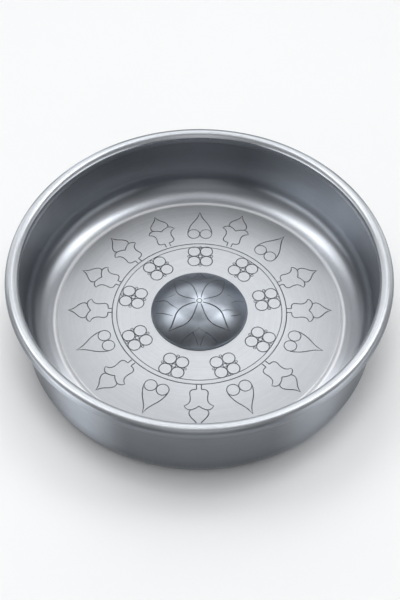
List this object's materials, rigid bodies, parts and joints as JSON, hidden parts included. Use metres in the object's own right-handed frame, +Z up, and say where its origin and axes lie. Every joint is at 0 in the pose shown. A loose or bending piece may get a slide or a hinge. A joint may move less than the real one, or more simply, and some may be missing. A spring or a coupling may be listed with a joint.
{
  "type": "hammam bowl",
  "caption": "Low round metal bath bowl with a rolled and wired rim, a raised engraved floor and a domed boss in its middle, for scooping and pouring water.",
  "frame": {"origin": "on the bowl's axis, at the level that it stands on", "axes": "+Z up along the bowl's axis, +X to the right and +Y to the back as the picture shows it"},
  "size_m": [0.2, 0.2, 0.0505],
  "materials": {
    "bowl_sheet": "nickel-plated brass, satin, with turning marks and darkened engraved lines",
    "foot_sheet": "nickel-plated brass, satin, as the wall above it",
    "rim_wire": "plain drawn wire, hidden in the rolled rim",
    "boss_sheet": "nickel-plated brass, polished, toned to a darker grey",
    "solder": "tin solder, wiped smooth"
  },
  "bodies": {
    "root": {"bowl_body": "bowl_sheet", "foot_band": "foot_sheet", "foot_solder": "solder", "rim_wire": "rim_wire", "boss_dome": "boss_sheet", "boss_solder": "solder"}
  },
  "joints": []
}
